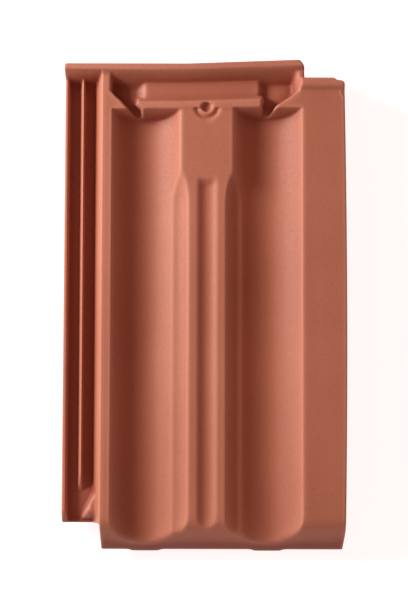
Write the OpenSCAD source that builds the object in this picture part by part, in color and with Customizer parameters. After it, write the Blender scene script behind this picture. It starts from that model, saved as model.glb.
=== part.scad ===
// Interlocking clay roof tile with two troughs, pressed in one piece.
// It lies with its weather face up. X runs across the tile from the side lock
// to the cover flange, Y runs from the foot to the head, and Z is up from the bed.
// Depths are measured down from the level of the flat fields.

/* [Overall] */
// Width from the rim of the side lock to the edge of the cover flange
tile_w = 260.4; // [250:0.2:330]
// Length from the foot lips to the head edge
tile_l = 451; // [360:1:560]
// Thickness of the clay under the flat fields
field_t = 10; // [8:0.5:13]
// Thickness of the clay under the troughs
hull_t = 11; // [9:0.5:14]
// Thickness of the clay at the troughs' sides
hull_side_t = 8; // [7:0.5:9]
// How far the head edge runs forward at its flange end
head_sweep = 3.8; // [0.4:0.2:6]
// Distance from the middle of the centre field to the bend in the head edge
head_bend = 18; // [0:1:24]
// How far the cover flange's edge bows out at mid-length
flange_bow = 2.2; // [0.2:0.1:3]
// How far the side lock's edge is drawn in at the head
lock_taper = 0.6; // [0:0.1:1]

/* [Troughs] */
// Width of each trough at the flat fields
trough_w = 63; // [54:0.2:76]
// Depth of each trough
trough_d = 17.5; // [14:0.5:22]
// Distance from the head edge to the top of the troughs' end walls
trough_head = 43.8; // [42:0.2:60]
// How much farther the second trough reaches towards the head
trough_step = 1.5; // [0:0.1:3]
// Steepness of the troughs' end walls
trough_end_a = 63; // [45:1:75]
// Width of the flat strip between the side lock and the first trough
strip_w = 9.3; // [7:0.1:14]
// Width of the flat field between the second trough and the tile's edge
flange_w = 40.9; // [38:0.1:46]

/* [Centre field] */
// Radius of the side coves that widen the inner edges of the troughs
cove_r = 20; // [16:0.5:26]
// How far a cove reaches onto the centre field
cove_out = 7.3; // [5:0.1:8.5]
// How far a cove's lower crest lies inside the trough
cove_in = 7.1; // [5:0.1:9]
// Radius of the curve along which a cove lifts out at its head end
cove_lift_r = 60; // [30:1:90]
// Distance from the head edge to where the coves start to lift out
cove_head = 134; // [110:1:160]
// Width of the groove along the middle of the centre field
groove_w = 17.2; // [12:0.1:20]
// Depth of that groove
groove_d = 3.2; // [2:0.1:4.5]
// Distance from the head edge to the end of that groove
groove_head = 110.5; // [90:0.5:160]
// Distance from the head edge to the middle of the nail mark
nail_head = 43.6; // [42:0.2:60]
// Radius of the blind nail mark
nail_r = 4.4; // [3:0.1:5]
// Depth of the blind nail mark
nail_d = 3; // [1.5:0.1:4]
// Outer radius of the moat around the foot side of the nail mark
moat_r = 12; // [11:0.1:13]
// Width of that moat
moat_w = 5.4; // [4:0.1:5.8]
// Depth of that moat
moat_d = 2.4; // [0.5:0.1:3]

/* [Side lock] */
// Width of the side lock, from its rim to the top edge of the body
lock_w = 35.2; // [34:0.1:40]
// Depth of the tops of the lock's rim and rib
lock_top_d = 10.5; // [9:0.1:12]
// Depth of the lock's channel floors
lock_floor_d = 20; // [18:0.1:21]
// Thickness of the clay under the lock's channels
lock_t = 8.5; // [7:0.1:9]
// Width of the rim's top
rim_w = 4; // [3:0.1:4.5]
// Width of each channel's floor
channel_w = 8.7; // [8:0.1:9.5]
// Width of the top of the rib between the two channels
lock_rib_w = 1.8; // [1.5:0.1:2.5]
// Distance from the foot to the end of the side lock
lock_foot = 26; // [20:0.2:40]
// Distance from the foot to where the rib between the channels starts to fall
lock_rib_foot = 69.5; // [66:0.5:110]
// Length of that rib's fall to the channel floor
lock_rib_fall = 15; // [4:0.5:16]
// Length of the dam that turns the inner channel into the outer one
dam_l = 28.6; // [24:0.2:34]
// Slant of the dam's side across the inner channel
dam_a = 26.4; // [22:0.2:34]

/* [Head] */
// Height of the head ridge above the flat fields
ridge_h = 4; // [2:0.1:6]
// Distance from the head edge to the front of the ridge's top
ridge_w = 5.6; // [4:0.1:8]
// Steepness of the ridge's front over the head channel
ridge_a = 51.5; // [48:0.5:60]
// Steepness of the ridge's front over the side lock
ridge_lock_a = 66; // [60:1:75]
// Depth of the head channel's floor
head_channel_d = 8.5; // [6:0.1:10]
// Depth of the two pockets at the channel's ends
pocket_d = 14; // [11:0.1:15]
// Distance from the head edge to the head side of the rib's crest
rib_head = 35.1; // [34:0.1:36]
// Steepness of the rib's head side
rib_a = 65; // [60:1:80]
// Height of the rib's crest above the flat fields
rib_rise = 0.5; // [0.1:0.1:1]
// Distance between the body's top edge and the pocket beside it
pocket_in = 8.1; // [7:0.1:10]
// Length of each pocket along the head channel
pocket_l = 24; // [21:0.5:26]
// Width of the sloping end wall at the flange end of the head channel
end_wall_w = 9; // [6:0.1:10]
// Slant of that end wall away from the tile's length
end_wall_a = 9.6; // [0:0.2:12]

/* [Cover flange] */
// Distance from the head edge to the head end of the cover flange
flange_head = 16.6; // [14:0.1:22]
// Width of the ridge at the flange's head end
flange_ridge_w = 6.8; // [4:0.1:8]
// Length of that ridge's sloping front
flange_slope_w = 4.2; // [3:0.1:8]
// Thickness of the cover flange
flange_t = 9; // [8:0.1:9.5]
// Clearance between a hanging rib and the channel it fills
lock_gap = 1.2; // [0.8:0.1:2]
// Gap between the flange's edge and the body of the next tile
joint_gap = 0.8; // [0.4:0.1:3]
// Height of the small stop mark near the flange's head corner
mark_h = 0.5; // [0.2:0.1:1]

/* [Foot] */
// Length of the foot's fall, from the flat field to the foot edge
foot_l = 31.6; // [28:0.2:44]
// Radius of the curve at the top of the fall
foot_r = 19; // [10:0.5:24]
// Depth of the fall's lower edge below the flat fields
foot_drop = 25.3; // [24:0.1:26]
// How far the trough lips stand out past the foot edge
lip = 1.4; // [0.5:0.1:3]
// Height of the foot edge's blunt face
foot_edge = 2.4; // [1.5:0.1:4]
// How far the flange's edge is drawn in at the foot
foot_taper = 1.2; // [0.2:0.1:4]
// Length over which it is drawn in there
foot_taper_l = 16; // [8:1:24]

/* [Underside] */
// Height of the nibs and the foot rib below the trough hulls
nib_h = 10; // [6:0.5:14]
// Width of each nib
nib_w = 36; // [24:1:44]
// Thickness of each nib along the tile
nib_t = 15; // [12:0.5:18]
// Distance from the head edge to the nibs' batten face
nib_head = 29; // [27:0.5:31]
// Thickness of the clay under the pockets
head_t = 9; // [8:0.5:10]
// Distance from the foot to the middle of the foot rib
foot_rib_y = 51; // [46:0.5:60]
// Thickness of the foot rib at its tip
foot_rib_t = 9; // [7:0.5:11]

/* [Hidden] */
$fn = 96;
clay = [0.66, 0.36, 0.27];

// Levels above the bed
hull_z = nib_h;
flat_z = nib_h + hull_t + trough_d;
top_z = flat_z + ridge_h;
floor_z = flat_z - lock_floor_d;
lock_top_z = flat_z - lock_top_d;
head_under_z = flat_z - pocket_d - head_t;
over = 1;
clear_z = top_z + 8;

// Places across the tile
left_x = -tile_w / 2;
right_x = tile_w / 2;
body_x = left_x + lock_w;
trough_1_x = body_x + strip_w + trough_w / 2;
trough_2_x = right_x - flange_w - trough_w / 2;
inner_1_x = trough_1_x + trough_w / 2;
inner_2_x = trough_2_x - trough_w / 2;
outer_2_x = trough_2_x + trough_w / 2;
centre_x = (inner_1_x + inner_2_x) / 2;
block_x = outer_2_x + 2.1;
bend_x = centre_x - head_bend;

// The trough's circle
trough_r = (pow(trough_w / 2, 2) + pow(trough_d, 2)) / (2 * trough_d);
trough_cz = flat_z - trough_d + trough_r;

// The lock's section: the rim, the outer channel, the rib, the inner channel
rim_draft = 1.6;
rib_outer_draft = 2.4;
rib_inner_draft = 0.7;
outer_channel_x = left_x + rim_w + rim_draft;
lock_rib_x = outer_channel_x + channel_w;
lock_rib_top_x = lock_rib_x + rib_outer_draft;
inner_channel_x = lock_rib_top_x + lock_rib_w + rib_inner_draft;
lock_wall_x = inner_channel_x + channel_w;
cover_w = tile_w - lock_w + joint_gap;

// Places along the tile
head_y = tile_l - head_sweep;
ridge_y = head_y - ridge_w;
rib_y = head_y - rib_head;
trough_y = tile_l - trough_head;
flange_y = tile_l - flange_head;
nib_y = tile_l - nib_head;
foot_y = lip;
fall_y = foot_y + foot_l;
trough_1_y = trough_y - trough_step;

// The steepness that takes the fall from its rounded top down to its lower edge
foot_line = sqrt(pow(foot_l, 2) + pow(foot_drop - foot_r, 2));
foot_a = atan((foot_drop - foot_r) / foot_l) + asin(foot_r / foot_line);

// The head block's corner, and the turn of the head edge beyond its bend
corner_x = block_x - 4.3;
head_turn = atan(head_sweep / (corner_x - bend_x));

// The head channel's ends: its side wall at the field, and the foot of its end wall
pocket_z = flat_z - pocket_d;
pocket_x = body_x + pocket_in;
end_foot_x = outer_2_x - end_wall_w;

// The outer walls of the drains, which also bound the pockets
pocket_side_y = rib_y + 10.6;
drain_end_y = trough_y - 10;
first_wall = [
    [pocket_x, pocket_side_y],
    [pocket_x + 10.2, trough_y + 6],
    [pocket_x + 20.3, trough_y - 5.3],
    [pocket_x + 24.8, drain_end_y]
];
last_wall = [
    [end_foot_x - 24.5, drain_end_y],
    [end_foot_x - 20.4, trough_y - 4.4],
    [end_foot_x - 14.2, trough_y + 2.9],
    [end_foot_x - 4.1, trough_y + 9],
    [end_foot_x, trough_y + 12.1]
];

// The lock's end slope at the foot
lock_end_l = 8.2;

// The cove's circle, through its crest on the trough and its edge on the field
cove_crest_d = flat_z - trough_cz + sqrt(pow(trough_r, 2) - pow(trough_w / 2 - cove_in, 2));
cove_chord = sqrt(pow(cove_in + cove_out, 2) + pow(cove_crest_d, 2));
cove_rise = sqrt(pow(cove_r, 2) - pow(cove_chord / 2, 2));
cove_dx = (cove_out - cove_in) / 2 - cove_rise * cove_crest_d / cove_chord;
cove_cz = flat_z - cove_crest_d / 2 + cove_rise * (cove_in + cove_out) / cove_chord;

// A section drawn in X and Z, run along Y
module along_y(y0, y1) {
    translate([0, y1, 0])
        rotate([90, 0, 0])
            linear_extrude(y1 - y0)
                children();
}

// A section drawn in Y and Z, run along X
module along_x(x0, x1) {
    translate([x0, 0, 0])
        rotate([90, 0, 90])
            linear_extrude(x1 - x0)
                children();
}

// A round bar along Y
module bar(x, z, r, y0, y1) {
    translate([x, y1, z])
        rotate([90, 0, 0])
            cylinder(r = r, h = y1 - y0);
}

// The cover flange's bowed edge
function edge_x(y) = right_x - flange_bow * pow(2 * y / tile_l - 1, 2);

// The tile's outline in plan
module outline() {
    bow_steps = 16;
    corner_y = flange_y - 6;
    step_y = (corner_y - foot_taper_l) / bow_steps;
    bow = [for (i = [0 : bow_steps]) let (y = foot_taper_l + i * step_y) [edge_x(y), y]];
    foot_side = [
        [body_x + 0.6, 0],
        [edge_x(0) - foot_taper, 0]
    ];
    head_side = [
        [right_x - 2.4, flange_y - 3.9],
        [right_x - 4.6, flange_y - 2.5],
        [right_x - 9.2, flange_y - 2.1],
        [right_x - 11.5, flange_y],
        [block_x, flange_y],
        [block_x, tile_l - 6.3],
        [block_x - 1.6, tile_l - 3.4],
        [corner_x, tile_l],
        [bend_x, head_y],
        [left_x + lock_taper + 1, head_y],
        [left_x + lock_taper, head_y - 2],
        [left_x, lock_foot],
        [body_x - 0.1, lock_foot]
    ];
    linear_extrude(clear_z)
        polygon(concat(foot_side, bow, head_side));
}

// Turns a shape that is drawn along the head edge in line with the edge beyond its bend
module beyond_bend() {
    translate([bend_x, head_y, 0])
        rotate([0, 0, head_turn])
            translate([-bend_x, -head_y, 0])
                children();
}

// The plate under the flat fields, and the body's side towards the lock
module field() {
    along_y(foot_y, tile_l)
        polygon([
            [body_x, flat_z],
            [outer_2_x, flat_z],
            [outer_2_x, flat_z - field_t],
            [body_x + strip_w, flat_z - field_t],
            [body_x + strip_w, hull_z + 3],
            [lock_wall_x - 2, hull_z + 3],
            [lock_wall_x, floor_z]
        ]);
}

// The outside of one trough, closed at its head end
module trough_hull(x, end_y) {
    hull_r = trough_r + hull_side_t;
    intersection() {
        bar(x, hull_z + hull_r, hull_r, 0, tile_l);
        along_x(x - hull_r, x + hull_r)
            polygon([
                [0, 0],
                [end_y - 3, 0],
                [end_y + 6, flat_z - 2],
                [0, flat_z - 2]
            ]);
    }
}

// The hollow of one trough, with its sloping end wall
module trough_hollow(x, end_y) {
    below = trough_d + 2;
    above = 8;
    intersection() {
        bar(x, trough_cz, trough_r, -over, tile_l);
        along_x(x - trough_r - over, x + trough_r + over)
            polygon([
                [-over, flat_z - below],
                [end_y - below / tan(trough_end_a), flat_z - below],
                [end_y + above / tan(trough_end_a), flat_z + above],
                [-over, flat_z + above]
            ]);
    }
}

// A side cove: a round bar that lifts out along a curve at its head end
module cove(x) {
    start_y = tile_l - cove_head;
    bar(x, cove_cz, cove_r, -over, start_y);
    translate([x, start_y, cove_cz + cove_lift_r])
        rotate([90, 0, 90])
            rotate([0, 0, -90])
                rotate_extrude(angle = 45)
                    translate([cove_lift_r, 0])
                        circle(r = cove_r);
}

// The shallow groove along the centre field, with a sloping end
module groove() {
    groove_r = (pow(groove_w / 2, 2) + pow(groove_d, 2)) / (2 * groove_d);
    end_y = tile_l - groove_head;
    intersection() {
        bar(centre_x, flat_z - groove_d + groove_r, groove_r, -over, tile_l);
        along_x(centre_x - groove_w, centre_x + groove_w)
            polygon([
                [-over, flat_z - 2 * groove_d],
                [end_y - 2 * groove_d, flat_z - 2 * groove_d],
                [end_y + groove_d, flat_z + groove_d],
                [-over, flat_z + groove_d]
            ]);
    }
}

// The blind nail mark, and the moat that rings its foot side
module nail_mark() {
    outer_slope = 1.8;
    lift = 0.4;
    translate([centre_x, tile_l - nail_head, flat_z]) {
        translate([0, 0, -nail_d])
            cylinder(r = nail_r, h = nail_d + over);
        rotate([0, 0, 180])
            rotate_extrude(angle = 180)
                polygon([
                    [moat_r - moat_w, lift],
                    [moat_r - moat_w, 0],
                    [moat_r - outer_slope, -moat_d],
                    [moat_r, 0],
                    [moat_r, lift]
                ]);
    }
}

// The side lock: a tray with a rim, a rib and the dam at its foot
module side_lock() {
    difference() {
        union() {
            along_y(lock_foot, tile_l)
                polygon([
                    [left_x, floor_z - lock_t],
                    [left_x, lock_top_z],
                    [left_x + rim_w, lock_top_z],
                    [outer_channel_x, floor_z],
                    [lock_wall_x + over, floor_z],
                    [lock_wall_x + over, floor_z - lock_t]
                ]);
            lock_rib();
            lock_dam();
        }
        along_x(left_x - over, lock_wall_x + 2 * over)
            polygon([
                [lock_foot - over, floor_z + 0.4],
                [lock_foot, floor_z + 0.4],
                [lock_foot + lock_end_l, lock_top_z],
                [lock_foot + lock_end_l, lock_top_z + over],
                [lock_foot - over, lock_top_z + over]
            ]);
    }
}

// The rib between the lock's two channels, with its fall at the foot
module lock_rib() {
    foot_end = lock_rib_foot - lock_rib_fall;
    intersection() {
        along_y(foot_end, tile_l)
            polygon([
                [lock_rib_x, floor_z],
                [lock_rib_top_x, lock_top_z],
                [lock_rib_top_x + lock_rib_w, lock_top_z],
                [inner_channel_x, floor_z],
                [inner_channel_x, floor_z - over],
                [lock_rib_x, floor_z - over]
            ]);
        along_x(lock_rib_x - over, inner_channel_x + over)
            polygon([
                [foot_end, floor_z - 2 * over],
                [foot_end, floor_z],
                [lock_rib_foot, lock_top_z],
                [lock_rib_foot, lock_top_z + over],
                [tile_l, lock_top_z + over],
                [tile_l, floor_z - 2 * over]
            ]);
    }
}

// The dam: its slanting side turns the inner channel into the outer one
module lock_dam() {
    side_draft = 2.1;
    foot_in = 3;
    wall_run = body_x - lock_wall_x;
    rib_h = lock_floor_d - lock_top_d;
    wall_top_x = lock_wall_x + wall_run * rib_h / lock_floor_d;
    side_run = side_draft * over / rib_h;
    reach = 2 * dam_l;
    intersection() {
        translate([wall_top_x, lock_foot + dam_l, 0])
            rotate([0, 0, -dam_a])
                along_y(-reach, reach)
                    polygon([
                        [side_run, lock_top_z + over],
                        [-side_draft - side_run, floor_z - over],
                        [reach, floor_z - over],
                        [reach, lock_top_z + over]
                    ]);
        along_x(lock_rib_x, wall_top_x + over)
            polygon([
                [lock_foot + foot_in, floor_z - over],
                [lock_foot + foot_in, floor_z],
                [lock_foot + lock_end_l, lock_top_z],
                [lock_foot + 2 * dam_l, lock_top_z],
                [lock_foot + 2 * dam_l, floor_z - over]
            ]);
    }
}

// The thicker clay under the head channel
module head_block() {
    along_y(trough_y - 3, tile_l)
        polygon([
            [body_x + over, flat_z - over],
            [outer_2_x - over, flat_z - over],
            [outer_2_x - over, flat_z],
            [block_x, flat_z],
            [block_x, head_under_z],
            [lock_wall_x + over, head_under_z]
        ]);
}

// The slightly raised crest of the rib between the head channel and the troughs
module rib_crest() {
    slope = 2.4;
    along_x(trough_1_x - 12, trough_2_x + 6)
        polygon([
            [trough_y - slope, flat_z - over],
            [trough_y - slope, flat_z],
            [trough_y, flat_z + rib_rise],
            [rib_y + 6, flat_z + rib_rise],
            [rib_y + 6, flat_z - over]
        ]);
}

// The section of the head ridge, as steep as its slope angle
module ridge_section(slope_a) {
    run = (top_z - floor_z) / tan(slope_a);
    polygon([
        [ridge_y, top_z],
        [ridge_y - run, floor_z],
        [ridge_y - run, floor_z - over],
        [tile_l, floor_z - over],
        [tile_l, top_z]
    ]);
}

// The ridge along the head edge, over the lock and the body
module head_ridge() {
    base_z = floor_z - lock_t;
    lock_run = (top_z - floor_z) / tan(ridge_lock_a);
    front_y = ridge_y - 3 * lock_run;
    depth = top_z - floor_z + 2 * over;
    along_x(left_x, body_x)
        ridge_section(ridge_lock_a);
    difference() {
        along_x(body_x, block_x + over)
            ridge_section(ridge_a);
        beyond_bend()
            along_x(2 * left_x, 2 * right_x)
                polygon([
                    [ridge_y + (clear_z - top_z) / tan(ridge_a), clear_z],
                    [ridge_y - depth / tan(ridge_a), top_z - depth],
                    [front_y, top_z - depth],
                    [front_y, clear_z]
                ]);
    }
    along_x(left_x, lock_wall_x)
        polygon([
            [ridge_y - lock_run, base_z],
            [tile_l, base_z],
            [tile_l, floor_z],
            [ridge_y - lock_run, floor_z]
        ]);
}

// The section of the head channel between the rib's crest and the head edge
module channel_section() {
    polygon([
        [rib_y - (clear_z - flat_z) / tan(rib_a), clear_z],
        [rib_y + (pocket_d + over) / tan(rib_a), pocket_z - over],
        [tile_l - over, pocket_z - over],
        [tile_l - over, clear_z]
    ]);
}

// The head channel with the deeper pocket at each of its ends
module head_channel() {
    ramp = 7.2;
    mid_z = flat_z - head_channel_d;
    wall_tan = (pocket_d + ridge_h) / end_wall_w;
    far_x = outer_2_x + 2 * end_wall_w;
    intersection() {
        along_x(pocket_x - over, far_x)
            channel_section();
        beyond_bend()
            along_x(2 * left_x, 2 * right_x)
                channel_section();
        along_y(rib_y - 5, tile_l)
            polygon([
                [pocket_x - 0.6, clear_z],
                [pocket_x, flat_z],
                [pocket_x + 2, pocket_z],
                [pocket_x + pocket_l, pocket_z],
                [pocket_x + pocket_l + ramp, mid_z],
                [end_foot_x - pocket_l - ramp, mid_z],
                [end_foot_x - pocket_l, pocket_z],
                [far_x, pocket_z],
                [far_x, clear_z]
            ]);
        linear_extrude(clear_z)
            polygon(concat(
                [[pocket_x - over, tile_l], [pocket_x - over, pocket_side_y]],
                first_wall,
                last_wall,
                [
                    [end_foot_x + 5.1, trough_y + 16],
                    [outer_2_x, trough_y + 22.4],
                    [far_x, trough_y + 22.4],
                    [far_x, tile_l]
                ]
            ));
        translate([outer_2_x, flange_y - flange_ridge_w, 0])
            rotate([0, 0, end_wall_a])
                along_y(-2 * rib_head, 2 * rib_head)
                    polygon([
                        [-tile_w, clear_z],
                        [-tile_w, pocket_z - over],
                        [-end_wall_w - over / wall_tan, pocket_z - over],
                        [(clear_z - top_z) / wall_tan, clear_z]
                    ]);
    }
}

// The slanting drains that lead the pockets round the rib's ends into the troughs
module drains() {
    translate([0, 0, pocket_z])
        linear_extrude(clear_z - pocket_z) {
            polygon(concat(first_wall, [
                [pocket_x + 27.5, drain_end_y],
                [pocket_x + 27.7, trough_y - 1.1],
                [pocket_x + 23.2, trough_y + 2.8],
                [pocket_x + 23.2, pocket_side_y]
            ]));
            polygon(concat(last_wall, [
                [end_foot_x, pocket_side_y],
                [end_foot_x - 26.2, pocket_side_y],
                [end_foot_x - 26.2, trough_y + 8],
                [end_foot_x - 27.2, trough_y + 1],
                [end_foot_x - 27.5, drain_end_y]
            ]));
        }
}

// The cover flange, its head ridge and the two ribs that hang into the next tile's lock
module cover_flange() {
    along_y(foot_y, flange_y)
        polygon([
            [outer_2_x - over, flat_z],
            [right_x, flat_z],
            [right_x, flat_z - flange_t],
            [outer_2_x - over, flat_z - flange_t]
        ]);
    along_x(outer_2_x - 12, right_x)
        polygon([
            [flange_y - flange_ridge_w - flange_slope_w, flat_z],
            [flange_y - flange_ridge_w, top_z],
            [flange_y, top_z],
            [flange_y, flat_z - over],
            [flange_y - flange_ridge_w - flange_slope_w, flat_z - over]
        ]);
    stop_mark();
    hanging_rib(outer_channel_x, lock_foot + 8, flange_y - 10);
    hanging_rib(inner_channel_x, lock_rib_foot + 6, flange_y - 10);
}

// The small stop mark: a low bar across the flange that turns up to its head ridge
module stop_mark() {
    mark_w = 1.3;
    turn_y = flange_y - 15.7;
    slant_l = 15.8;
    slant_a = 41;
    translate([right_x - 5.2, turn_y, flat_z - over])
        linear_extrude(mark_h + over) {
            translate([-mark_w / 2, 0])
                square([mark_w, flange_y - flange_ridge_w - turn_y]);
            rotate(90 - slant_a)
                translate([-mark_w / 2, -slant_l])
                    square([mark_w, slant_l]);
        }
}

// A rib that hangs into the channel at channel_x on the next tile
module hanging_rib(channel_x, y0, y1) {
    rib_x = channel_x + cover_w + lock_gap;
    rib_w = channel_w - 2 * lock_gap;
    tip_z = floor_z + 1.6;
    along_y(y0, y1)
        polygon([
            [rib_x - 0.3, flat_z - flange_t + over],
            [rib_x + 0.5, tip_z],
            [rib_x + rib_w - 0.5, tip_z],
            [rib_x + rib_w + 0.3, flat_z - flange_t + over]
        ]);
}

// The clay under the fall at the foot, down to the blunt foot edge
module foot_apron() {
    edge_z = flat_z - foot_drop - foot_edge;
    along_x(body_x - 3, right_x)
        polygon([
            [foot_y, edge_z],
            [foot_y + 6, edge_z],
            [fall_y - 9, flat_z - field_t + over],
            [foot_y, flat_z - field_t + over]
        ]);
}

// What the fall takes off the foot: a slope with a rounded top
module foot_fall() {
    run = foot_r * sin(foot_a);
    turn_z = flat_z - foot_r * (1 - cos(foot_a));
    difference() {
        along_x(left_x - over, right_x + over)
            polygon([
                [-2, turn_z - (fall_y - run + 2) * tan(foot_a)],
                [fall_y - run, turn_z],
                [fall_y, flat_z],
                [fall_y, clear_z],
                [-2, clear_z]
            ]);
        translate([left_x - 2 * over, fall_y, flat_z - foot_r])
            rotate([0, 90, 0])
                cylinder(r = foot_r, h = tile_w + 4 * over);
    }
}

// The rib across the foot's underside, which drops into the head channel of the tile below
module foot_rib() {
    draft = 2.5;
    half = foot_rib_t / 2;
    along_x(trough_1_x - trough_w / 2 + 9, trough_2_x + trough_w / 2 - 17)
        polygon([
            [foot_rib_y - half, 0],
            [foot_rib_y + half, 0],
            [foot_rib_y + half + draft, flat_z - field_t + over],
            [foot_rib_y - half - draft, flat_z - field_t + over]
        ]);
}

// A nib that hooks over the roof batten, with an upright batten face
module nib(x) {
    draft = 3;
    intersection() {
        along_x(x - nib_w / 2, x + nib_w / 2)
            polygon([
                [nib_y, 0],
                [nib_y + nib_t - draft, 0],
                [nib_y + nib_t, head_under_z + over],
                [nib_y, head_under_z + over]
            ]);
        along_y(nib_y - over, nib_y + nib_t + over)
            polygon([
                [x - nib_w / 2 + draft, 0],
                [x + nib_w / 2 - draft, 0],
                [x + nib_w / 2, head_under_z + over],
                [x - nib_w / 2, head_under_z + over]
            ]);
    }
}

// The whole tile, in one piece
module tile_body() {
    difference() {
        union() {
            field();
            foot_apron();
            foot_rib();
            trough_hull(trough_1_x, trough_1_y);
            trough_hull(trough_2_x, trough_y);
            head_block();
            rib_crest();
            cover_flange();
        }
        trough_hollow(trough_1_x, trough_1_y);
        trough_hollow(trough_2_x, trough_y);
        cove(inner_1_x + cove_dx);
        cove(inner_2_x - cove_dx);
        groove();
        head_channel();
        drains();
        nail_mark();
        foot_fall();
    }
}

module roof_tile() {
    color(clay)
        translate([0, -tile_l / 2, 0])
            intersection() {
                outline();
                union() {
                    tile_body();
                    side_lock();
                    head_ridge();
                    nib(trough_1_x);
                    nib(trough_2_x);
                }
            }
}

roof_tile();
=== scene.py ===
"""A clay roof tile in a small studio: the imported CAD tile, as soft as a pressed and fired one."""

import math

import bpy
import numpy as np
from mathutils import Euler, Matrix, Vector


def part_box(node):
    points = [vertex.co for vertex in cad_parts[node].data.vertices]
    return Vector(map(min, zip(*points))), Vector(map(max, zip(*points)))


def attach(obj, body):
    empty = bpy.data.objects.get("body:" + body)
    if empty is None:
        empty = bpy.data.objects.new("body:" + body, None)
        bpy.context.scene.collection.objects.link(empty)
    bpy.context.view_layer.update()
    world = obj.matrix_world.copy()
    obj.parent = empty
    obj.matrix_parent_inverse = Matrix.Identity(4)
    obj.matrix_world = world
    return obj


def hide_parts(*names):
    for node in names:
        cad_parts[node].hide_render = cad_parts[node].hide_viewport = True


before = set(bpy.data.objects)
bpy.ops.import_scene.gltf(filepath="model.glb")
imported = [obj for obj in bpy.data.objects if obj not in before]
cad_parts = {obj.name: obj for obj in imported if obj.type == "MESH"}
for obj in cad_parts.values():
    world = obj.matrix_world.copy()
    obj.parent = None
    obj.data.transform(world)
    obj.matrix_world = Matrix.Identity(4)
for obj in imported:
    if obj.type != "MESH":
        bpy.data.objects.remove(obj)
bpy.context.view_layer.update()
LOW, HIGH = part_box("roof_tile")

# The height maps and the mesh are worked out in millimetres, and made metres at the end
MM = 0.001

# The maps: the spacing of their points, and how far they reach beyond the tile
STEP = 0.5
MARGIN = 6.0

# The maps' softness: of creases, of the band around the outline, and of the outline's corners,
# and how many times its radius a blur reaches
CREASE_SOFTNESS = 0.5
OUTLINE_SOFTNESS = 1.0
CORNER_SOFTNESS = 0.6
BLUR_REACH = 4

# Faces that meet at less than 19 degrees are parts of one curve. A triangle bulges with its curve
# only where its normals rise more than this
SMOOTH_COS = math.cos(math.radians(19))
LEAST_RISE = 0.2

# The rims: fillets of the two faces, and the ring that ends the wall's shading, with the most that
# each may take of the tile's thickness there
TOP_FILLET = 1.3
BOTTOM_FILLET = 0.9
FILLET_SHARE = 0.42
WALL_RING = 0.8
RING_SHARE = 0.3

# The grid's lines across X and along Y, placed by how much the surface bends: how much the
# underside counts, the least need of a flat field, and how the need is averaged and levelled
LINES_ACROSS = 190
LINES_ALONG = 200
BOTTOM_NEED = 0.35
LEAST_NEED = 0.2
FEWEST_POINTS = 40
NEED_WINDOW = 5
FULL_NEED_PERCENTILE = 97

# The lines beside each straight stretch of the outline that is at least this long, and the
# clearance to the lines around them
SHORTEST_STRETCH = 15
EDGE_OFFSETS = (-2.4, -1.5, -0.9, -0.3, 0.3, 0.9, 1.5, 2.4)
EDGE_CLEARANCE = 0.4

# The flange's small stop mark: how far its near and far ends lie back from the box's high side,
# along Y and along X, the spacing of the grid's lines over it, and the clearance around them
MARK_REACH = ((43.5, 27.0), (18.5, 4.0))
MARK_SPACING = 0.75
MARK_CLEARANCE = 0.3

# Edges and recesses for the material, paler wear on edges and painted shade in recesses: the
# softness of the maps that are compared, and the height or the distance over which a mark comes to
# its full strength
EDGE_BLURS = (0.8, 2.2)
EDGE_HEIGHT = 0.35
RIM_REACH = 1.6
RIM_STRENGTH = 0.8
PAINTED_SHADE_BLUR = 7.0
PAINTED_SHADE_DEPTH = 5.0

# The engobe's colours, in linear light, with one dark that serves both the specks and the painted
# shade in recesses, the share of painted shade in recesses and of paler wear on edges, and its
# roughness
CLAY_MAIN = (0.42, 0.150, 0.088, 1)
CLAY_DEEP = (0.375, 0.128, 0.073, 1)
CLAY_PALE = (0.47, 0.18, 0.115, 1)
SPECK_AND_SHADE_DARK = (0.22, 0.035, 0.016, 1)
CLAY_EDGE = (0.60, 0.27, 0.19, 1)
PAINTED_SHADE_SHARE = 0.75
EDGE_SHARE = 0.35
ROUGH_LOW = 0.5
ROUGH_HIGH = 0.64

# The lights: a low key from the lock's side, a faint warm fill and a glowing floor
KEY_AZIMUTH = 157
KEY_ELEVATION = 27
KEY_DISTANCE = 1.5
KEY_SIZE = 0.45
KEY_POWER = 33
FILL_COLOUR = (1.0, 0.55, 0.45, 1)
FILL_STRENGTH = 0.39
FLOOR_COLOUR = (0.4, 0.4, 0.4, 1)
FLOOR_ROUGHNESS = 0.95
FLOOR_GLOW = 0.85
FLOOR_REACH = 12.0
FLOOR_SIDES = 64
FAR_WALL_HEIGHT = 2.4

# The camera looks almost straight down, from a little towards the foot
CAMERA_TARGET = Vector((-0.00065, -0.00148, 0.0385))
CAMERA_DISTANCE = 1.45
CAMERA_TILT = math.radians(3.989)
CAMERA_TWIST = math.radians(0.148)
FOCAL_PIXELS = 1589.3
IMAGE_HEIGHT = 611
SENSOR = 36.0


def make_camera():
    """The camera, over the middle of the tile at the level of its flat fields."""
    data = bpy.data.cameras.new("camera")
    data.sensor_fit = "VERTICAL"
    data.sensor_height = SENSOR
    data.sensor_width = SENSOR
    data.lens = FOCAL_PIXELS / IMAGE_HEIGHT * SENSOR
    data.clip_start = 0.05
    data.clip_end = 50
    camera = bpy.data.objects.new("camera", data)
    bpy.context.scene.collection.objects.link(camera)
    turn = Euler((CAMERA_TILT, 0, CAMERA_TWIST), "XYZ").to_matrix()
    camera.rotation_euler = turn.to_euler()
    camera.location = CAMERA_TARGET + turn @ Vector((0, 0, CAMERA_DISTANCE))
    bpy.context.scene.camera = camera


make_camera()


# ---- the CAD tile as two height maps ----

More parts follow.
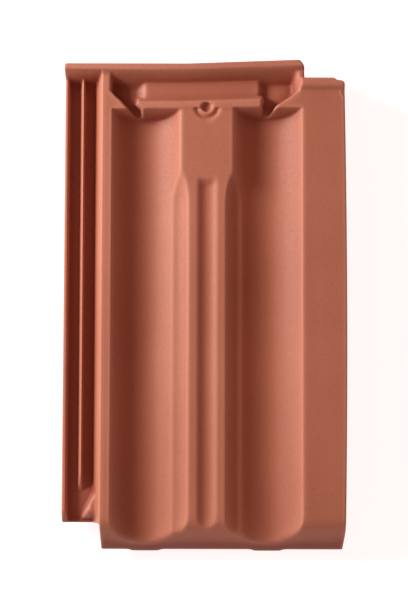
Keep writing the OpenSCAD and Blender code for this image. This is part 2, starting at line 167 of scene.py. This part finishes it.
def cad_triangles():
    """The corner points of the CAD tile's triangles, and their smoothed normals."""
    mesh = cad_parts["roof_tile"].data
    mesh.calc_loop_triangles()
    points = np.zeros(len(mesh.vertices) * 3)
    mesh.vertices.foreach_get("co", points)
    index = np.zeros(len(mesh.loop_triangles) * 3, int)
    mesh.loop_triangles.foreach_get("vertices", index)
    corners = points.reshape(-1, 3)[index].reshape(-1, 3, 3) / MM
    across = np.cross(corners[:, 1] - corners[:, 0], corners[:, 2] - corners[:, 0])
    size = np.linalg.norm(across, axis=1)
    real = size > 1e-6
    corners, size = corners[real], size[real]
    normals = across[real] / size[:, None]
    return corners, corner_normals(corners, normals, size)


def corner_normals(corners, normals, size):
    """At each corner, the mean normal of the touching faces that bend away by less than a crease.

    Faces count by their angle at the corner, and by the area of the plane they lie in, so that a
    curve runs straight on into the flat face that it blends into.
    """
    offset = (normals * corners[:, 0]).sum(1)
    planes = np.column_stack([np.round(normals, 3), np.round(offset, 1)])
    _, plane = np.unique(planes, axis=0, return_inverse=True)
    plane = plane.ravel()
    area = np.bincount(plane, size)[plane]
    _, place = np.unique(np.round(corners.reshape(-1, 3), 3), axis=0, return_inverse=True)
    place = place.reshape(-1, 3)
    ahead = np.roll(corners, -1, axis=1) - corners
    behind = np.roll(corners, 1, axis=1) - corners
    lengths = np.linalg.norm(ahead, axis=2) * np.linalg.norm(behind, axis=2)
    angle = np.arccos(np.clip((ahead * behind).sum(2) / lengths, -1, 1))
    around = {}
    for (face, corner), point in np.ndenumerate(place):
        around.setdefault(point, []).append((face, angle[face, corner] * area[face] ** 2))
    found = np.zeros_like(corners)
    for (face, corner), point in np.ndenumerate(place):
        for other, weight in around[point]:
            if normals[other] @ normals[face] > SMOOTH_COS:
                found[face, corner] += weight * normals[other]
    return found / np.linalg.norm(found, axis=2, keepdims=True)


def map_places(low, high):
    """Places along one axis, half a step in from both ends of the tile, and on beyond them."""
    count = round((high - low) / STEP)
    beyond = round(MARGIN / STEP)
    return low + (np.arange(-beyond, count + beyond) + 0.5) * (high - low) / count


def height_maps():
    """Height maps of the weather face and the underside."""
    top = np.full((len(ys), len(xs)), -np.inf)
    bottom = np.full((len(ys), len(xs)), np.inf)
    for corners, normals in zip(cad_corners, cad_normals):
        draw_triangle(top, bottom, corners, normals)
    return top, bottom


def draw_triangle(top, bottom, corners, normals):
    """Draws one triangle into the map it faces, bulged by its corner normals to hide its facets."""
    flat = corners[:, :2]
    (ax, ay), (bx, by), (cx, cy) = flat
    double = (bx - ax) * (cy - ay) - (cx - ax) * (by - ay)
    if abs(double) < 1e-7:
        return
    c0, c1 = np.searchsorted(xs, [flat[:, 0].min() - 1e-4, flat[:, 0].max() + 1e-4])
    r0, r1 = np.searchsorted(ys, [flat[:, 1].min() - 1e-4, flat[:, 1].max() + 1e-4])
    if c0 == c1 or r0 == r1:
        return
    px, py = np.meshgrid(xs[c0:c1], ys[r0:r1])
    u = ((bx - px) * (cy - py) - (cx - px) * (by - py)) / double
    v = ((cx - px) * (ay - py) - (ax - px) * (cy - py)) / double
    w = 1 - u - v
    shares = (u, v, w)
    inside = np.minimum(np.minimum(u, v), w) > -1e-6
    level = sum(share * corner[2] for share, corner in zip(shares, corners))
    if np.abs(normals[:, 2]).min() > LEAST_RISE:
        bulged = 0
        for share, corner, normal in zip(shares, corners, normals):
            rise = -(normal[0] * (px - corner[0]) + normal[1] * (py - corner[1])) / normal[2]
            bulged = bulged + share * (corner[2] + rise)
        level = (level + bulged) / 2
    if double > 0:
        part = top[r0:r1, c0:c1]
        part[inside] = np.maximum(part[inside], level[inside])
    else:
        part = bottom[r0:r1, c0:c1]
        part[inside] = np.minimum(part[inside], level[inside])


def blur(image, radius):
    """A Gaussian blur whose standard deviation is radius, in millimetres."""
    sigma = radius / STEP
    reach = int(BLUR_REACH * sigma + 1)
    taps = np.exp(-0.5 * (np.arange(-reach, reach + 1) / sigma) ** 2)
    taps /= taps.sum()
    for axis in (0, 1):
        margins = [(reach, reach) if a == axis else (0, 0) for a in (0, 1)]
        padded = np.pad(image, margins, mode="edge")
        total = np.zeros_like(image)
        for k, tap in enumerate(taps):
            window = [slice(None)] * 2
            window[axis] = slice(k, k + image.shape[axis])
            total += tap * padded[tuple(window)]
        image = total
    return image


def soften(level):
    """The height map with its creases rounded, using only points on the tile."""
    weight = blur(mask.astype(float), CREASE_SOFTNESS)
    return blur(np.where(mask, level, 0.0), CREASE_SOFTNESS) / np.maximum(weight, 1e-6)


def sample(image, px, py):
    """The map's value between its points."""
    u = np.clip((px - xs[0]) / (xs[1] - xs[0]), 0, len(xs) - 1.001)
    v = np.clip((py - ys[0]) / (ys[1] - ys[0]), 0, len(ys) - 1.001)
    i, j = u.astype(int), v.astype(int)
    s, t = u - i, v - j
    low = image[j, i] * (1 - s) + image[j, i + 1] * s
    high = image[j + 1, i] * (1 - s) + image[j + 1, i + 1] * s
    return low * (1 - t) + high * t


def outline_walls():
    """The plan ends of the CAD tile's upright faces that bound its outline."""
    plan = cad_corners[:, :, :2]
    sides = np.linalg.norm(np.roll(plan, -1, axis=1) - plan, axis=2)
    rows = np.arange(len(plan))
    longest = sides.argmax(1)
    start, end = plan[rows, longest], plan[rows, (longest + 1) % 3]
    other = plan[rows, (longest + 2) % 3]
    along = (end - start) / np.maximum(sides.max(1), 1e-6)[:, None]
    across = np.column_stack([-along[:, 1], along[:, 0]])
    upright = np.abs(((other - start) * across).sum(1)) < 1e-3
    middle = (start + end) / 2
    beside = [(middle + shift * across).T for shift in (-1, 1)]
    left, right = (sample(mask.astype(float), px, py) > 0.5 for px, py in beside)
    keep = upright & (left != right) & (sides.max(1) > 1e-3)
    return start[keep], end[keep]


def edge_distance():
    """Distance in from the outline, exact near it and held further in, with soft corners."""
    reach = BLUR_REACH * OUTLINE_SOFTNESS
    faded = blur(mask.astype(float), OUTLINE_SOFTNESS)
    rows, columns = np.nonzero((faded > 1e-4) & (faded < 1 - 1e-4))
    px, py = xs[columns], ys[rows]
    nearest = np.full(len(px), reach)
    for (x0, y0), (x1, y1) in zip(*outline_walls()):
        wide, long = x1 - x0, y1 - y0
        share = np.clip(((px - x0) * wide + (py - y0) * long) / (wide ** 2 + long ** 2), 0, 1)
        nearest = np.minimum(nearest, np.hypot(px - x0 - share * wide, py - y0 - share * long))
    depth = np.where(mask, reach, -reach)
    depth[rows, columns] = np.where(mask[rows, columns], nearest, -nearest)
    return blur(depth, CORNER_SOFTNESS)


xs = map_places(LOW.x / MM, HIGH.x / MM)
ys = map_places(LOW.y / MM, HIGH.y / MM)
cad_corners, cad_normals = cad_triangles()
cad_top, cad_bottom = height_maps()
mask = np.isfinite(cad_top) & np.isfinite(cad_bottom)
top_map = soften(cad_top)
bottom_map = soften(cad_bottom)
depth_in = edge_distance()


# ---- the mesh ----

def spread_lines(places, need, count):
    """Grid lines along one axis, closer where the surface bends more."""
    density = np.cumsum(need)
    density = (density - density[0]) / (density[-1] - density[0])
    return np.interp(np.linspace(0, 1, count), density, places)


def bend_need(axis):
    """How closely the lines across one axis are needed, from how sharply the faces bend."""
    need = 0
    for level, share in ((top_map, 1.0), (bottom_map, BOTTOM_NEED)):
        curve = np.abs(np.gradient(np.gradient(level, STEP, axis=axis), STEP, axis=axis))
        curve = np.where(mask, np.minimum(curve, 1.0), 0.0)
        need = need + share * curve.sum(1 - axis) / np.maximum(mask.sum(1 - axis), FEWEST_POINTS)
    need = need / np.percentile(need, FULL_NEED_PERCENTILE)
    need = np.convolve(need, np.ones(NEED_WINDOW) / NEED_WINDOW, mode="same")
    return np.clip(need, LEAST_NEED, 1.0)


def insert_lines(lines, places):
    """The lines, with those too near each place swapped for lines at fixed offsets from it."""
    reach = max(EDGE_OFFSETS) + EDGE_CLEARANCE
    for place in places:
        lines = lines[np.abs(lines - place) > reach]
        lines = np.concatenate([lines, place + np.array(EDGE_OFFSETS)])
    return np.sort(lines)


def refine_lines(lines, low, high):
    """The lines, set close together over the small stop mark."""
    fine = np.arange(low, high, MARK_SPACING)
    clear = (lines < fine[0] - MARK_CLEARANCE) | (lines > fine[-1] + MARK_CLEARANCE)
    return np.sort(np.concatenate([lines[clear], fine]))


def outline_steps(places, axis):
    """Where long straight stretches of the outline lie along one axis."""
    changes = np.abs(np.diff(mask.astype(int), axis=axis)).sum(1 - axis)
    middle = (places[:-1] + places[1:]) / 2
    grouped = np.convolve(changes, np.ones(3), mode="same")
    found = []
    for k in np.argsort(-grouped):
        if grouped[k] < SHORTEST_STRETCH / STEP:
            break
        if all(abs(middle[k] - other) > 2 * max(EDGE_OFFSETS) for other in found):
            near = slice(max(k - 2, 0), k + 3)
            found.append(float((middle[near] * changes[near]).sum() / changes[near].sum()))
    return sorted(found)


def grid_points():
    """The grid of points that both faces share."""
    lines = []
    for axis, places, count, far in ((1, xs, LINES_ACROSS, HIGH.x), (0, ys, LINES_ALONG, HIGH.y)):
        spread = spread_lines(places, bend_need(axis), count)
        spread = insert_lines(spread, outline_steps(places, axis))
        low, high = (far / MM - reach for reach in MARK_REACH[axis])
        lines.append(refine_lines(spread, low, high))
    return np.meshgrid(*lines)


def fillet(depth, radius):
    """How far a rounded edge of that radius lies below the face, at a depth in from the outline."""
    back = np.clip(1 - depth / radius, 0, 1)
    return radius * (1 - np.sqrt(1 - back ** 2))


class Mesher:
    """Cuts the shared grid along the outline, and joins the two faces by a wall."""

    def __init__(self, gx, gy):
        self.gx, self.gy = gx, gy
        self.depth = sample(depth_in, gx, gy)
        self.inside = self.depth > 0
        self.index = np.full(gx.shape, -1)
        self.index[self.inside] = np.arange(self.inside.sum())
        self.places = list(zip(gx[self.inside], gy[self.inside]))
        self.crossings = {}
        self.faces = []
        self.rim = []

    def crossing(self, a, b):
        """The point where the outline cuts the grid edge from a to b."""
        key = (min(a, b), max(a, b))
        if key not in self.crossings:
            share = self.depth[a] / (self.depth[a] - self.depth[b])
            x = self.gx[a] + share * (self.gx[b] - self.gx[a])
            y = self.gy[a] + share * (self.gy[b] - self.gy[a])
            self.crossings[key] = len(self.places)
            self.places.append((x, y))
        return self.crossings[key]

    def cut_cell(self, j, i):
        """The part of one cell that is on the tile, and the stretch of outline that bounds it."""
        ring = [(j, i), (j, i + 1), (j + 1, i + 1), (j + 1, i)]
        face, entries = [], []
        for a, b in zip(ring, ring[1:] + ring[:1]):
            if self.inside[a]:
                face.append(self.index[a])
            if self.inside[a] != self.inside[b]:
                point = self.crossing(a, b)
                face.append(point)
                entries.append((point, self.inside[a]))
        self.faces.append(face)
        for k, (point, out) in enumerate(entries):
            if out:
                self.rim.append((point, entries[(k + 1) % len(entries)][0]))

    def run(self):
        """Fills in the faces and the rim, and gives the places of all their points."""
        inside = self.inside.astype(int)
        count = inside[:-1, :-1] + inside[:-1, 1:] + inside[1:, 1:] + inside[1:, :-1]
        j, i = np.nonzero(count == 4)
        corners = ((j, i), (j, i + 1), (j + 1, i + 1), (j + 1, i))
        self.faces = np.stack([self.index[corner] for corner in corners], 1).tolist()
        for j, i in zip(*np.nonzero((count > 0) & (count < 4))):
            self.cut_cell(j, i)
        return np.array(self.places)


def shape_marks(px, py, depth):
    """How far each point of the two faces stands out on an edge, for paler wear, or lies back in a
    recess, for painted shade.
    """
    edges, hollows = [], []
    near_rim = np.clip(1 - depth / RIM_REACH, 0, 1)
    for level, sign in ((top_map, 1), (bottom_map, -1)):
        fine = blur(level, EDGE_BLURS[0]) - blur(level, EDGE_BLURS[1])
        wide = level - blur(np.where(mask, level, level[mask].mean()), PAINTED_SHADE_BLUR)
        edge = np.clip(sign * sample(fine, px, py) / EDGE_HEIGHT, 0, 1)
        edges.append(np.maximum(edge, RIM_STRENGTH * near_rim))
        # The recess mark sets painted shade: the deeper a point lies below its surroundings, the
        # darker it is painted
        hollows.append(np.clip(-sign * sample(wide, px, py) / PAINTED_SHADE_DEPTH, 0, 1))
    return {"edge": np.concatenate(edges), "hollow": np.concatenate(hollows)}


def build_tile():
    """The tile as one closed mesh: two faces from the height maps, with rounded rims and a wall."""
    mesher = Mesher(*grid_points())
    places = mesher.run()
    px, py = places.T
    depth = np.clip(sample(depth_in, px, py), 0, None)
    upper = sample(top_map, px, py)
    lower = sample(bottom_map, px, py)
    room = FILLET_SHARE * (upper - lower)
    upper = upper - fillet(depth, np.minimum(TOP_FILLET, room))
    lower = lower + fillet(depth, np.minimum(BOTTOM_FILLET, room))
    upper = np.minimum(upper, HIGH.z / MM)
    lower = np.maximum(lower, LOW.z / MM)
    rim = np.array(sorted({start for start, _ in mesher.rim}))
    gap = np.minimum(WALL_RING, RING_SHARE * (upper[rim] - lower[rim]))
    layers = [
        np.column_stack([px, py, upper]),
        np.column_stack([px, py, lower]),
        np.column_stack([px[rim], py[rim], upper[rim] - gap]),
        np.column_stack([px[rim], py[rim], lower[rim] + gap]),
    ]
    points = np.concatenate(layers) * MM
    count = len(places)
    faces = list(mesher.faces)
    faces += [[count + p for p in reversed(face)] for face in mesher.faces]
    ring = 2 * count
    columns = {p: (p, ring + k, ring + len(rim) + k, count + p) for k, p in enumerate(rim.tolist())}
    for a, b in mesher.rim:
        for k in range(3):
            faces.append([columns[b][k], columns[a][k], columns[a][k + 1], columns[b][k + 1]])
    mesh = bpy.data.meshes.new("tile_clay")
    mesh.from_pydata(points.tolist(), [], faces)
    mesh.validate()
    mesh.shade_smooth()
    for name, values in shape_marks(px, py, depth).items():
        mark = mesh.attributes.new(name, "FLOAT", "POINT")
        rim_values = values[:count][rim]
        mark.data.foreach_set("value", np.concatenate([values, rim_values, rim_values]))
    tile = bpy.data.objects.new("tile_clay", mesh)
    bpy.context.scene.collection.objects.link(tile)
    return tile


tile = build_tile()


# ---- materials ----

class Nodes:
    """Short hand for building a material's node tree."""

    def __init__(self, material):
        material.use_nodes = True
        self.tree = material.node_tree
        self.shader = self.tree.nodes["Principled BSDF"]
        self.place = self.tree.nodes.new("ShaderNodeTexCoord").outputs["Object"]

    def add(self, kind, sockets, **settings):
        """A node with its settings, and with its inputs set or joined to other outputs."""
        node = self.tree.nodes.new("ShaderNode" + kind)
        for name, value in settings.items():
            setattr(node, name, value)
        for key, value in sockets.items():
            self.join(node.inputs[key], value)
        return node

    def join(self, socket, value):
        """Sets the input to a constant, or joins it to another node's output."""
        if isinstance(value, bpy.types.NodeSocket):
            self.tree.links.new(value, socket)
        else:
            socket.default_value = value

    def stretched(self, scale):
        """Object coordinates, scaled along each axis."""
        return self.add("Mapping", {"Vector": self.place, "Scale": scale}).outputs["Vector"]

    def noise(self, vector, scale, detail=3.0, roughness=0.55):
        """Smooth noise about 0.5."""
        sockets = {"Vector": vector, "Scale": scale, "Detail": detail, "Roughness": roughness}
        return self.add("TexNoise", sockets).outputs["Fac"]

    def ranged(self, value, low, high, new_low=0.0, new_high=1.0):
        """The value spread from one range to another, and held within it."""
        source = {"Value": value, "From Min": low, "From Max": high}
        target = {"To Min": new_low, "To Max": new_high}
        return self.add("MapRange", source | target).outputs["Result"]

    def math(self, operation, a, b):
        """One sum on two values."""
        return self.add("Math", {0: a, 1: b}, operation=operation).outputs["Value"]

    def bump(self, height, strength, distance, under=None):
        """The surface's normal with a relief laid on it, or on another relief."""
        sockets = {"Height": height, "Strength": strength, "Distance": distance}
        if under is not None:
            sockets["Normal"] = under
        return self.add("Bump", sockets).outputs["Normal"]

    def tint(self, share, base, over):
        """The base colour with another laid over it."""
        node = self.add("Mix", {0: share}, data_type="RGBA")
        self.join(node.inputs[6], base)
        self.join(node.inputs[7], over)
        return node.outputs[2]

    def mark(self, name):
        """One of the values that the mesh holds for each point."""
        return self.add("Attribute", {}, attribute_name=name).outputs["Fac"]


def fired_clay():
    """Fired red clay under a thin smooth engobe: clouded, finely speckled, paler on worn edges,
    with painted shade darkening its recesses.
    """
    material = bpy.data.materials.new("fired_clay")
    nodes = Nodes(material)
    place = nodes.place
    clouds = nodes.noise(place, 9.0, 3.0, 0.5)
    streaks = nodes.noise(nodes.stretched((55.0, 4.0, 55.0)), 1.0, 3.0, 0.6)
    grain = nodes.noise(place, 420.0, 4.0, 0.65)
    specks = nodes.noise(place, 900.0, 1.0, 0.5)
    edge = nodes.mark("edge")
    hollow = nodes.mark("hollow")

    colour = nodes.tint(nodes.ranged(clouds, 0.35, 0.65), CLAY_DEEP, CLAY_MAIN)
    colour = nodes.tint(nodes.ranged(streaks, 0.42, 0.75, 0.0, 0.22), colour, CLAY_PALE)
    colour = nodes.tint(nodes.ranged(grain, 0.5, 0.72, 0.0, 0.18), colour, SPECK_AND_SHADE_DARK)
    colour = nodes.tint(nodes.ranged(specks, 0.68, 0.74, 0.0, 0.35), colour, SPECK_AND_SHADE_DARK)
    colour = nodes.tint(nodes.ranged(specks, 0.31, 0.26, 0.0, 0.25), colour, CLAY_PALE)
    # Painted shade: recesses are darkened towards the dark colour, where shade falls
    colour = nodes.tint(nodes.math("MULTIPLY", hollow, PAINTED_SHADE_SHARE), colour, SPECK_AND_SHADE_DARK)
    worn = nodes.math("MULTIPLY", edge, nodes.ranged(grain, 0.35, 0.65, 0.3, 1.0))
    colour = nodes.tint(nodes.math("MULTIPLY", worn, EDGE_SHARE), colour, CLAY_EDGE)
    nodes.join(nodes.shader.inputs["Base Color"], colour)

    rough = nodes.ranged(nodes.math("ADD", clouds, grain), 0.7, 1.3, ROUGH_LOW, ROUGH_HIGH)
    nodes.join(nodes.shader.inputs["Roughness"], rough)
    nodes.join(nodes.shader.inputs["IOR"], 1.45)
    nodes.join(nodes.shader.inputs["Specular IOR Level"], 0.38)

    ripple = nodes.noise(nodes.stretched((26.0, 6.0, 26.0)), 1.0, 2.0, 0.5)
    waves = nodes.bump(ripple, 0.25, 0.0009)
    nodes.join(nodes.shader.inputs["Normal"], nodes.bump(grain, 0.35, 0.00016, waves))
    return material


tile.data.materials.append(fired_clay())
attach(tile, "root")
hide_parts("roof_tile")


# ---- the studio ----

def make_floor():
    """A plain pale floor and a low far wall that glow, so that no shadow shows."""
    mesh = bpy.data.meshes.new("floor")
    count = FLOOR_SIDES
    turns = [2 * math.pi * k / count for k in range(count)]
    circle = [(FLOOR_REACH * math.cos(a), FLOOR_REACH * math.sin(a)) for a in turns]
    points = [(x, y, z) for z in (0, FAR_WALL_HEIGHT) for x, y in circle]
    walls = [(k, count + k, count + (k + 1) % count, (k + 1) % count) for k in range(count)]
    mesh.from_pydata(points, [], [tuple(range(count))] + walls)
    floor = bpy.data.objects.new("floor", mesh)
    bpy.context.scene.collection.objects.link(floor)
    material = bpy.data.materials.new("floor_paper")
    material.use_nodes = True
    shader = material.node_tree.nodes["Principled BSDF"]
    shader.inputs["Base Color"].default_value = FLOOR_COLOUR
    shader.inputs["Roughness"].default_value = FLOOR_ROUGHNESS
    shader.inputs["Emission Color"].default_value = (1, 1, 1, 1)
    shader.inputs["Emission Strength"].default_value = FLOOR_GLOW
    mesh.materials.append(material)


def make_key():
    """The key: a square soft light that shines on the tile's middle."""
    data = bpy.data.lights.new("key", "AREA")
    data.shape = "SQUARE"
    data.size = KEY_SIZE
    data.energy = KEY_POWER
    light = bpy.data.objects.new("key", data)
    bpy.context.scene.collection.objects.link(light)
    a, e = math.radians(KEY_AZIMUTH), math.radians(KEY_ELEVATION)
    away = Vector((math.cos(a) * math.cos(e), math.sin(a) * math.cos(e), math.sin(e)))
    light.location = away * KEY_DISTANCE
    light.rotation_euler = away.to_track_quat("Z", "Y").to_euler()


def make_fill():
    """The fill: an even warm light from the world."""
    world = bpy.data.worlds.new("studio")
    bpy.context.scene.world = world
    world.use_nodes = True
    background = world.node_tree.nodes["Background"]
    background.inputs["Color"].default_value = FILL_COLOUR
    background.inputs["Strength"].default_value = FILL_STRENGTH


make_floor()
make_key()
make_fill()
bpy.context.scene.view_settings.view_transform = "Standard"
